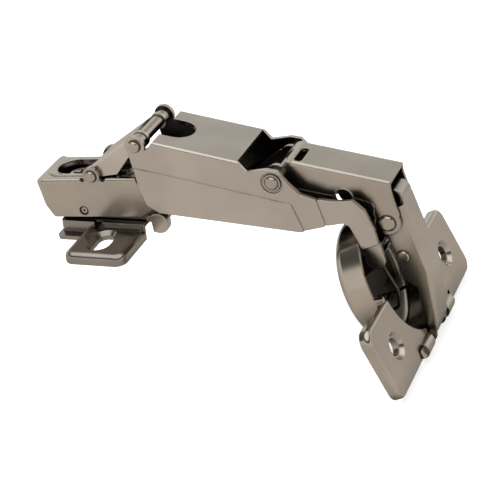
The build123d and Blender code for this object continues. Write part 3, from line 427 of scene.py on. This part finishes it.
def pin_centre(name):
    """A pin's middle on the arm's side plane, in millimetres, from its solid."""
    pin = nodes[name]
    corners = [pin.matrix_world @ Vector(corner) for corner in pin.bound_box]
    middle = sum(corners, Vector()) / len(corners)
    tilt = math.radians(ARM_TILT)
    along = middle.x * math.cos(tilt) + middle.z * math.sin(tilt)
    up = middle.z * math.cos(tilt) - middle.x * math.sin(tilt)
    return along / MM, up / MM


def on_cup(along, across, out):
    """A point of the cup's frame: down along the flange, across the hinge, and outward."""
    lean = math.radians(FLANGE_LEAN)
    spot = (
        SCREW_LINE[0] + along * math.cos(lean) + out * math.sin(lean),
        SCREW_LINE[1] - along * math.sin(lean) + out * math.cos(lean),
    )
    return on_side(spot, across)


def on_hole(centre, radius, angle, up):
    """A point of a half round in the arm's top, which bulges backwards."""
    return on_side((centre - radius * math.sin(angle), up), radius * math.cos(angle))


def arc(centre, radius, start, end, steps):
    """Points on an arc of the side plane, from one angle in degrees to another."""
    found = []
    for step in range(steps + 1):
        angle = math.radians(start + (end - start) * step / steps)
        found.append((centre[0] + radius * math.cos(angle), centre[1] + radius * math.sin(angle)))
    return found


def add_piece(name, corners, faces, material, body, soft=0.0):
    """A riding piece from its corners and faces, with softened edges."""
    mesh = bpy.data.meshes.new(name)
    mesh.from_pydata(corners, [], faces)
    mesh.update()
    mesh.validate()
    mesh.materials.append(material)
    piece = bpy.data.objects.new(name, mesh)
    bpy.context.scene.collection.objects.link(piece)
    if soft > 0:
        bevel = piece.modifiers.new("soft_edges", "BEVEL")
        bevel.width = soft * MM
        bevel.segments = 2
        bevel.limit_method = "ANGLE"
    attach(piece, body)
    return piece


def sheet_piece(name, outline, low, high, material, body, soft=0.0):
    """A flat piece: an outline on the arm's side plane between two places across the hinge."""
    count = len(outline)
    corners = [on_side(point, low) for point in outline] + [on_side(point, high) for point in outline]
    faces = [tuple(range(count)), tuple(range(2 * count - 1, count - 1, -1))]
    for spot in range(count):
        after = (spot + 1) % count
        faces.append((spot, spot + count, after + count, after))
    add_piece(name, corners, faces, material, body, soft)


def swept_piece(name, rows, material, body, closed=True, smooth=True):
    """A skin from each row of corners to the next, as a closed round or with flat ends."""
    around = len(rows[0])
    faces = []
    for row in range(len(rows) if closed else len(rows) - 1):
        here = row * around
        there = ((row + 1) % len(rows)) * around
        for part in range(around):
            after = (part + 1) % around
            faces.append((here + part, here + after, there + after, there + part))
    if not closed:
        last_row = (len(rows) - 1) * around
        faces.append(tuple(reversed(range(around))))
        faces.append(tuple(range(last_row, last_row + around)))
    corners = [corner for row in rows for corner in row]
    piece = add_piece(name, corners, faces, material, body)
    for face in piece.data.polygons:
        face.use_smooth = smooth
    return piece


def ring_piece(name, centre, radius, thick, across, material, body, start=0.0, span=360.0):
    """A round wire laid on a wall: a full ring, or an arc with closed ends."""
    closed = span >= 360.0
    rows = []
    for step in range(RING_STEPS if closed else RING_STEPS + 1):
        angle = math.radians(start + span * step / RING_STEPS)
        row = []
        for part in range(WIRE_SIDES):
            lean = 2 * math.pi * part / WIRE_SIDES
            reach = radius + thick * math.cos(lean)
            spot = (centre[0] + reach * math.cos(angle), centre[1] + reach * math.sin(angle))
            row.append(on_side(spot, across + thick * math.sin(lean)))
        rows.append(row)
    swept_piece(name, rows, material, body, closed)


def make_inner_walls(made):
    """The inner link's deeper walls, with the arch over the shell's neck and a dark block of painted
    shade seen through it.
    """
    arch = arc(ARCH, ARCH_R, ARCH_FROM, ARCH_TO, ARCH_STEPS)
    outline = WALL_BACK_EDGE + arch + WALL_FRONT_EDGE + WALL_LOWER_EDGE
    for side, word in SIDES:
        low, high = sorted((side * WALL_INNER, side * WALL_OUTER))
        sheet_piece("inner_wall_" + word, outline, low, high, made["plated_link"], "inner")
    ring_piece(
        "arch_rim", ARCH, ARCH_R + ARCH_RIM_OFFSET, ARCH_RIM_THICK, -ARCH_RIM_FACE,
        made["plated_link"], "inner", ARCH_RIM_FROM, ARCH_RIM_SPAN,
    )
    # Painted shade: a dark block behind the arch
    block = arc(BLOCK, BLOCK_R, 0.0, FULL_ROUND, ROUND_STEPS)
    sheet_piece("arch_shade_block", block, *BLOCK_FACES, made["painted_shade_dark"], "inner", BLOCK_SOFT)


def make_heads(made):
    """Dark lines round the riveted heads: painted shade of the gap where each head meets its wall,
    and grease there.
    """
    dark = made["painted_shade_dark"]
    for name, (pin, radius, thick, across, body) in HEAD_LINES.items():
        centre = pin_centre(pin)
        for side, word in SIDES:
            ring_piece(name + "_" + word, centre, radius, thick, side * across, dark, body)


def make_sleeve(made):
    """The sleeve between the shell's ears, round its pin."""
    outline = arc(pin_centre("shell_pin"), SLEEVE_R, 0.0, FULL_ROUND, SLEEVE_STEPS)
    material = made["plated_pin"]
    sheet_piece("pin_sleeve", outline, -SLEEVE_HALF, SLEEVE_HALF, material, "shell", SLEEVE_SOFT)


def make_hook(side, word, made):
    """The round hook with which one side of the carrier grips the plate."""
    outline = arc(HOOK, HOOK_R, HOOK_FROM, HOOK_TO, ROUND_STEPS)
    low, high = sorted(side * face for face in HOOK_FACES)
    material = made["plated_sheet"]
    sheet_piece("hook_round_" + word, outline, low, high, material, "carrier", HOOK_SOFT)


def make_collar(side, word, made):
    """The drawn collar behind a screw hole of the flange, down to the door's face."""
    rows = []
    for radius, out in COLLAR_RINGS:
        row = []
        for step in range(COLLAR_STEPS):
            angle = 2 * math.pi * step / COLLAR_STEPS
            across = side * SCREW_ACROSS + radius * math.sin(angle)
            row.append(on_cup(radius * math.cos(angle), across, out))
        rows.append(row)
    piece = swept_piece("hole_collar_" + word, rows, made["plated_drawn"], "cup")
    piece.data.set_sharp_from_angle(angle=math.radians(COLLAR_SHARP))


def make_pin_mark(side, word, made):
    """The small punch mark in an end of the carrier's pin, a dark disc of painted shade for its dent.
    """
    outline = arc(pin_centre("carrier_pin"), MARK_R, 0.0, MARK_ROUND, MARK_STEPS)
    low, high = sorted(side * face for face in MARK_FACES)
    sheet_piece("pin_mark_" + word, outline, low, high, made["painted_shade_dark"], "carrier")


def make_hole_end(made):
    """The rounded back end of the arm's long hole, with its raised lip."""
    top = ARM_TOP + FILLER_ABOVE
    bottom = ARM_TOP - FILLER_BELOW
    end_rows = []
    lip_rows = []
    for step in range(HOLE_STEPS + 1):
        angle = math.pi * step / HOLE_STEPS
        end_rows.append([
            on_hole(HOLE_BACK, HOLE_R, angle, top),
            on_hole(FILLED_BACK, FILLED_R, angle, top),
            on_hole(FILLED_BACK, FILLED_R, angle, bottom),
            on_hole(HOLE_BACK, HOLE_R, angle, bottom),
        ])
        lip_row = []
        for part in range(WIRE_SIDES):
            lean = 2 * math.pi * part / WIRE_SIDES
            reach = LIP_R + LIP_THICK * math.cos(lean)
            up = ARM_TOP + LIP_ABOVE + LIP_THICK * math.sin(lean)
            lip_row.append(on_hole(HOLE_BACK, reach, angle, up))
        lip_rows.append(lip_row)
    sheet = made["plated_sheet"]
    swept_piece("hole_end", end_rows, sheet, "arm", closed=False, smooth=False)
    swept_piece("hole_lip", lip_rows, sheet, "arm", closed=False)


def make_world():
    """White behind the object, and a soft studio of graded grey that the metal mirrors."""
    world = bpy.data.worlds.new("studio")
    bpy.context.scene.world = world
    world.use_nodes = True
    world.node_tree.nodes.clear()
    shader = Shader(world.node_tree)
    out = shader.node("OutputWorld")
    place = shader.node("TexCoord")
    split = shader.node("SeparateXYZ")
    shader.link(place, "Generated", split, "Vector")
    height = shader.spread(split, "Z", (-1.0, 1.0), (0.0, 1.0))
    sky_behind = shader.ramp(height, "Result", SKY_BEHIND)
    sky_front = shader.ramp(height, "Result", SKY_FRONT)
    behind = shader.spread(split, "Y", (-1.0, 1.0), (0.0, 1.0))
    stops = [(0.0, grey(0.0)), (TURN_START, grey(0.0)), (TURN_END, grey(1.0)), (1.0, grey(1.0))]
    turn = shader.ramp(behind, "Result", stops)
    sky = shader.node("MixRGB")
    shader.link(turn, "Color", sky, "Fac")
    shader.link(sky_front, "Color", sky, "Color1")
    shader.link(sky_behind, "Color", sky, "Color2")
    lit = shader.node("Background", Color=grey(SKY_LIGHT), Strength=1.0)
    studio = shader.node("Background", Strength=1.0)
    shader.link(sky, "Color", studio, "Color")
    white = shader.node("Background", Color=grey(1.0), Strength=1.0)
    ray = shader.node("LightPath")
    soft = shader.node("MixShader")
    shader.link(ray, "Is Glossy Ray", soft, "Fac")
    shader.link(lit, 0, soft, 1)
    shader.link(studio, 0, soft, 2)
    shown = shader.node("MixShader")
    shader.link(ray, "Is Camera Ray", shown, "Fac")
    shader.link(soft, 0, shown, 1)
    shader.link(white, 0, shown, 2)
    shader.link(shown, "Shader", out, "Surface")


def area_light(name, spot, aim, power):
    """A soft square lamp that looks at a point and isn't mirrored."""
    data = bpy.data.lights.new(name, "AREA")
    data.size = LAMP_SIZE
    data.energy = power
    lamp = bpy.data.objects.new(name, data)
    bpy.context.scene.collection.objects.link(lamp)
    lamp.visible_glossy = False
    lamp.location = spot
    lamp.rotation_mode = "QUATERNION"
    lamp.rotation_quaternion = (Vector(aim) - Vector(spot)).to_track_quat("-Z", "Y")


def make_floor(height):
    """A pale floor that reads white to the camera and still takes the object's shadow."""
    mesh = bpy.data.meshes.new("floor")
    corners = [(x * FLOOR_HALF, y * FLOOR_HALF, 0) for x, y in ((-1, -1), (1, -1), (1, 1), (-1, 1))]
    mesh.from_pydata(corners, [], [(0, 1, 2, 3)])
    floor = bpy.data.objects.new("floor", mesh)
    bpy.context.scene.collection.objects.link(floor)
    floor.location.z = height
    material = bpy.data.materials.new("pale_floor")
    material.use_nodes = True
    material.node_tree.nodes.clear()
    shader = Shader(material.node_tree)
    out = shader.node("OutputMaterial")
    paint = shader.node("BsdfDiffuse", Color=grey(FLOOR_PAINT))
    dull = shader.node("BsdfDiffuse", Color=FLOOR_MIRRORED)
    glow = shader.node("Emission", Color=grey(1.0))
    ray = shader.node("LightPath")
    lift = shader.node("Math", operation="MULTIPLY")
    lift.inputs[1].default_value = FLOOR_LIFT
    shader.link(ray, "Is Camera Ray", lift, 0)
    shader.link(lift, "Value", glow, "Strength")
    mirrored = shader.node("MixShader")
    shader.link(ray, "Is Glossy Ray", mirrored, "Fac")
    shader.link(paint, 0, mirrored, 1)
    shader.link(dull, 0, mirrored, 2)
    both = shader.node("AddShader")
    shader.link(mirrored, 0, both, 0)
    shader.link(glow, 0, both, 1)
    shader.link(both, "Shader", out, "Surface")
    mesh.materials.append(material)


def make_studio():
    """World, lamps and floor."""
    low, high = cad_box
    middle = (low + high) / 2
    make_world()
    area_light("key", KEY_SPOT, middle, KEY_POWER)
    area_light("fill", FILL_SPOT, middle, FILL_POWER)
    make_floor(low.z - FLOOR_GAP)


make_camera()
finishes = make_materials()
make_inner_walls(finishes)
make_heads(finishes)
make_sleeve(finishes)
for hinge_side, side_word in SIDES:
    make_hook(hinge_side, side_word, finishes)
    make_collar(hinge_side, side_word, finishes)
    make_pin_mark(hinge_side, side_word, finishes)
make_hole_end(finishes)
make_studio()

bpy.context.scene.view_settings.view_transform = "Standard"
